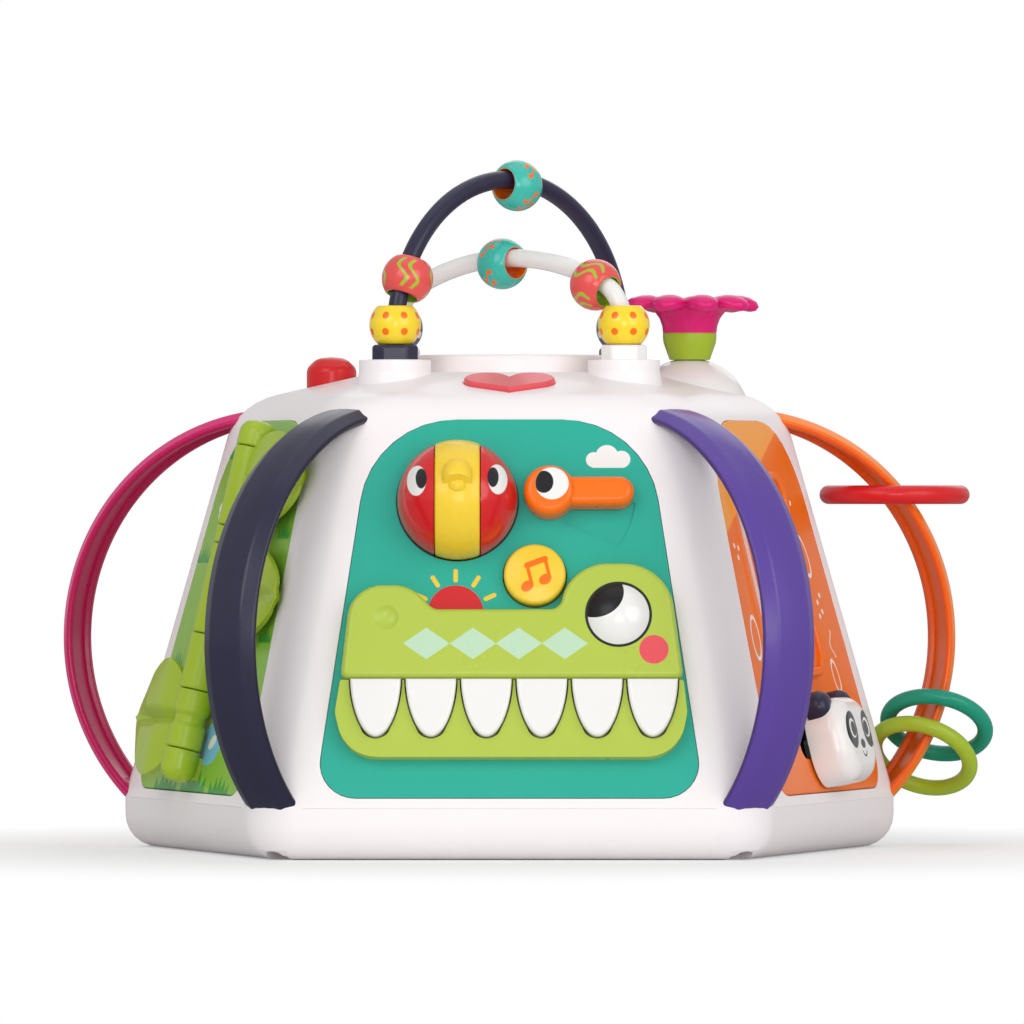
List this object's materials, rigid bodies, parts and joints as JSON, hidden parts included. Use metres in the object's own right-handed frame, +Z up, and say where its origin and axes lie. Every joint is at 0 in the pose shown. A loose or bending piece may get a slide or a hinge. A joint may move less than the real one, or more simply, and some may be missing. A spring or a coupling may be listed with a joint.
{
  "type": "baby activity center",
  "caption": "Five-sided baby activity center with a toy on each face, strap handles at the corners, rings, press buttons and a bead maze on top.",
  "frame": {"origin": "centre of the flat underside", "axes": "+Z up, -Y out of the front face, +X to the right as seen from the front"},
  "size_m": [0.3959, 0.3618, 0.2898],
  "materials": {
    "shell_white": "warm white moulded plastic, soft gloss",
    "gloss_white": "white moulded plastic, glossy",
    "panel_teal": "teal moulded plastic with printed decoration",
    "panel_green": "green moulded plastic with printed decoration",
    "panel_orange": "orange moulded plastic with printed decoration",
    "panel_violet": "violet moulded plastic",
    "panel_yellow": "yellow moulded plastic",
    "handle_navy": "navy moulded plastic, glossy",
    "handle_purple": "purple moulded plastic, glossy",
    "handle_magenta": "magenta moulded plastic, glossy",
    "handle_orange": "orange moulded plastic, glossy",
    "handle_teal": "teal moulded plastic, glossy",
    "crocodile_lime": "lime moulded plastic",
    "leaf_lime": "lime moulded plastic, glossy",
    "bright_red": "red moulded plastic, glossy",
    "heart_coral": "coral red moulded plastic",
    "bright_yellow": "yellow moulded plastic, glossy",
    "lever_orange": "orange moulded plastic",
    "petal_magenta": "magenta moulded plastic, glossy",
    "ring_teal": "deep teal moulded plastic, glossy",
    "bead_teal": "teal bead with printed squiggles",
    "bead_red": "red bead with printed waves",
    "bead_yellow": "yellow bead with printed dots",
    "bead_blue": "dark blue bead with printed dots",
    "cell_wrap": "printed cell wrap",
    "board_green": "solder mask on board",
    "bright_steel": "plated steel"
  },
  "bodies": {
    "body": {"base_tray": "shell_white", "body_shell": "shell_white", "maze_base": "shell_white", "front_panel": "panel_teal", "left_panel": "panel_green", "right_panel": "panel_orange", "rear_left_panel": "panel_yellow", "rear_right_panel": "panel_violet", "handle_front_left": "handle_navy", "handle_front_right": "handle_purple", "handle_side_left": "handle_magenta", "handle_side_right": "handle_orange", "handle_rear": "handle_teal", "crocodile_head": "crocodile_lime", "crocodile_jaw": "crocodile_lime", "bird_cheeks": "bright_red", "stem_caps": "leaf_lime", "track_inset": "gloss_white", "flower_dome": "gloss_white", "maze_arch_navy": "handle_navy", "maze_arch_white": "gloss_white", "battery_box": "shell_white", "batteries": "cell_wrap", "battery_door": "shell_white", "circuit_board": "board_green", "speaker": "bright_steel", "screws": "bright_steel", "steel_pins": "bright_steel"},
    "key_1": {"tooth_key_1": "gloss_white"},
    "key_2": {"tooth_key_2": "gloss_white"},
    "key_3": {"tooth_key_3": "gloss_white"},
    "key_4": {"tooth_key_4": "gloss_white"},
    "key_5": {"tooth_key_5": "gloss_white"},
    "key_6": {"tooth_key_6": "gloss_white"},
    "eye": {"crocodile_eye": "gloss_white"},
    "roller": {"bird_roller": "bright_yellow"},
    "lever": {"lever": "lever_orange"},
    "music_button": {"music_button": "bright_yellow"},
    "heart_button": {"heart_button": "heart_coral"},
    "dome_button": {"dome_button": "bright_red"},
    "flower": {"flower_cup": "leaf_lime", "flower_petals": "petal_magenta"},
    "bead_yellow_left": {"bead_yellow_left": "bead_yellow"},
    "bead_blue_right": {"bead_blue_right": "bead_blue"},
    "bead_yellow_right": {"bead_yellow_right": "bead_yellow"},
    "bead_blue_left": {"bead_blue_left": "bead_blue"},
    "bead_red_left": {"bead_red_left": "bead_red"},
    "bead_teal_upper": {"bead_teal_upper": "bead_teal"},
    "bead_red_right": {"bead_red_right": "bead_red"},
    "bead_teal_lower": {"bead_teal_lower": "bead_teal"},
    "leaf_top": {"leaf_top": "leaf_lime"},
    "leaf_middle": {"leaf_middle": "leaf_lime"},
    "leaf_bottom": {"leaf_bottom": "leaf_lime"},
    "panda": {"panda_slider": "gloss_white"},
    "ring_red": {"ring_red": "bright_red"},
    "ring_teal": {"ring_teal": "ring_teal"},
    "ring_lime": {"ring_lime": "leaf_lime"},
    "power_switch": {"power_switch": "bright_red"},
    "spinner": {"rear_spinner": "lever_orange"},
    "dial_hand": {"dial_hand": "bright_red"}
  },
  "joints": [
    {"name": "key_1_press", "type": "slide", "parent": "body", "child": "key_1", "axis": [0, 0.9711, -0.2385], "range_m": [0, 0.003], "stiffness_N_per_m": 300, "springref_m": -0.001},
    {"name": "key_2_press", "type": "slide", "parent": "body", "child": "key_2", "axis": [0, 0.9711, -0.2385], "range_m": [0, 0.003], "stiffness_N_per_m": 300, "springref_m": -0.001},
    {"name": "key_3_press", "type": "slide", "parent": "body", "child": "key_3", "axis": [0, 0.9711, -0.2385], "range_m": [0, 0.003], "stiffness_N_per_m": 300, "springref_m": -0.001},
    {"name": "key_4_press", "type": "slide", "parent": "body", "child": "key_4", "axis": [0, 0.9711, -0.2385], "range_m": [0, 0.003], "stiffness_N_per_m": 300, "springref_m": -0.001},
    {"name": "key_5_press", "type": "slide", "parent": "body", "child": "key_5", "axis": [0, 0.9711, -0.2385], "range_m": [0, 0.003], "stiffness_N_per_m": 300, "springref_m": -0.001},
    {"name": "key_6_press", "type": "slide", "parent": "body", "child": "key_6", "axis": [0, 0.9711, -0.2385], "range_m": [0, 0.003], "stiffness_N_per_m": 300, "springref_m": -0.001},
    {"name": "eye_spin", "type": "hinge", "parent": "body", "child": "eye", "pos_m": [0.0445, -0.13199, 0.10039], "axis": [0, -0.9711, 0.2385], "continuous": true},
    {"name": "roller_rock", "type": "hinge", "parent": "body", "child": "roller", "pos_m": [-0.0213, -0.11435, 0.14703], "axis": [1, 0, 0], "range_deg": [-45, 45]},
    {"name": "lever_swing", "type": "hinge", "parent": "body", "child": "lever", "pos_m": [0.0164, -0.11565, 0.15013], "axis": [0, -0.9711, 0.2385], "range_deg": [-40, 0]},
    {"name": "music_press", "type": "slide", "parent": "body", "child": "music_button", "axis": [0, 0.9711, -0.2385], "range_m": [0, 0.003], "stiffness_N_per_m": 300, "springref_m": -0.001},
    {"name": "heart_press", "type": "slide", "parent": "body", "child": "heart_button", "axis": [0, 0.2504, -0.9681], "range_m": [0, 0.002], "stiffness_N_per_m": 300, "springref_m": -0.001},
    {"name": "dome_press", "type": "slide", "parent": "body", "child": "dome_button", "axis": [0, 0, -1], "range_m": [0, 0.003], "stiffness_N_per_m": 300, "springref_m": -0.001},
    {"name": "flower_spin", "type": "hinge", "parent": "body", "child": "flower", "pos_m": [0.07608, 0.02472, 0.20716], "axis": [0, 0, 1], "continuous": true},
    {"name": "bead_yellow_left_spin", "type": "hinge", "parent": "body", "child": "bead_yellow_left", "pos_m": [-0.04752, -0.04752, 0.21976], "axis": [0, 0, 1], "continuous": true},
    {"name": "bead_blue_right_spin", "type": "hinge", "parent": "body", "child": "bead_blue_right", "pos_m": [0.04752, 0.04752, 0.21976], "axis": [0, 0, 1], "continuous": true},
    {"name": "bead_yellow_right_spin", "type": "hinge", "parent": "body", "child": "bead_yellow_right", "pos_m": [0.04752, -0.04752, 0.21976], "axis": [0, 0, 1], "continuous": true},
    {"name": "bead_blue_left_spin", "type": "hinge", "parent": "body", "child": "bead_blue_left", "pos_m": [-0.04752, 0.04752, 0.21976], "axis": [0, 0, 1], "continuous": true},
    {"name": "bead_red_left_slide", "type": "hinge", "parent": "body", "child": "bead_red_left", "pos_m": [0, 0, 0.21426], "axis": [0.7071, -0.7071, 0], "range_deg": [-40, 0]},
    {"name": "bead_teal_upper_slide", "type": "hinge", "parent": "body", "child": "bead_teal_upper", "pos_m": [0, 0, 0.21426], "axis": [0.7071, -0.7071, 0], "range_deg": [-50, 9]},
    {"name": "bead_red_right_slide", "type": "hinge", "parent": "body", "child": "bead_red_right", "pos_m": [0, 0, 0.10853], "axis": [-0.7071, -0.7071, 0], "range_deg": [0, 8]},
    {"name": "bead_teal_lower_slide", "type": "hinge", "parent": "body", "child": "bead_teal_lower", "pos_m": [0, 0, 0.10853], "axis": [-0.7071, -0.7071, 0], "range_deg": [-6, 16]},
    {"name": "leaf_top_flip", "type": "hinge", "parent": "body", "child": "leaf_top", "pos_m": [-0.11019, -0.04527, 0.15203], "axis": [-0.2269, -0.0737, -0.9711], "range_deg": [0, 170]},
    {"name": "leaf_middle_flip", "type": "hinge", "parent": "body", "child": "leaf_middle", "pos_m": [-0.12017, -0.04851, 0.1093], "axis": [-0.2269, -0.0737, -0.9711], "range_deg": [0, 170]},
    {"name": "leaf_bottom_flip", "type": "hinge", "parent": "body", "child": "leaf_bottom", "pos_m": [-0.13254, -0.05253, 0.05638], "axis": [0.2269, 0.0737, 0.9711], "range_deg": [0, 170]},
    {"name": "panda_slide", "type": "slide", "parent": "body", "child": "panda", "axis": [0.309, 0.9511, 0], "range_m": [-0.022, 0.022]},
    {"name": "ring_red_slide", "type": "hinge", "parent": "body", "child": "ring_red", "pos_m": [0.09549, 0.03103, 0.0888], "axis": [0.309, -0.9511, 0], "range_deg": [-28, 4]},
    {"name": "ring_teal_slide", "type": "hinge", "parent": "body", "child": "ring_teal", "pos_m": [0.09549, 0.03103, 0.0888], "axis": [0.309, -0.9511, 0], "range_deg": [0, 28]},
    {"name": "ring_lime_slide", "type": "hinge", "parent": "body", "child": "ring_lime", "pos_m": [0.09549, 0.03103, 0.0888], "axis": [0.309, -0.9511, 0], "range_deg": [0, 28]},
    {"name": "power_slide", "type": "slide", "parent": "body", "child": "power_switch", "axis": [1, 0, 0], "range_m": [-0.004, 0.004]},
    {"name": "spinner_spin", "type": "hinge", "parent": "body", "child": "spinner", "pos_m": [0.07307, 0.10057, 0.11066], "axis": [0.5708, 0.7857, 0.2385], "continuous": true},
    {"name": "dial_spin", "type": "hinge", "parent": "body", "child": "dial_hand", "pos_m": [-0.07307, 0.10057, 0.11066], "axis": [-0.5708, 0.7857, 0.2385], "continuous": true}
  ],
  "couplings": [
    {"joint": "ring_lime_slide", "follows": "ring_teal_slide", "ratio": 1}
  ]
}
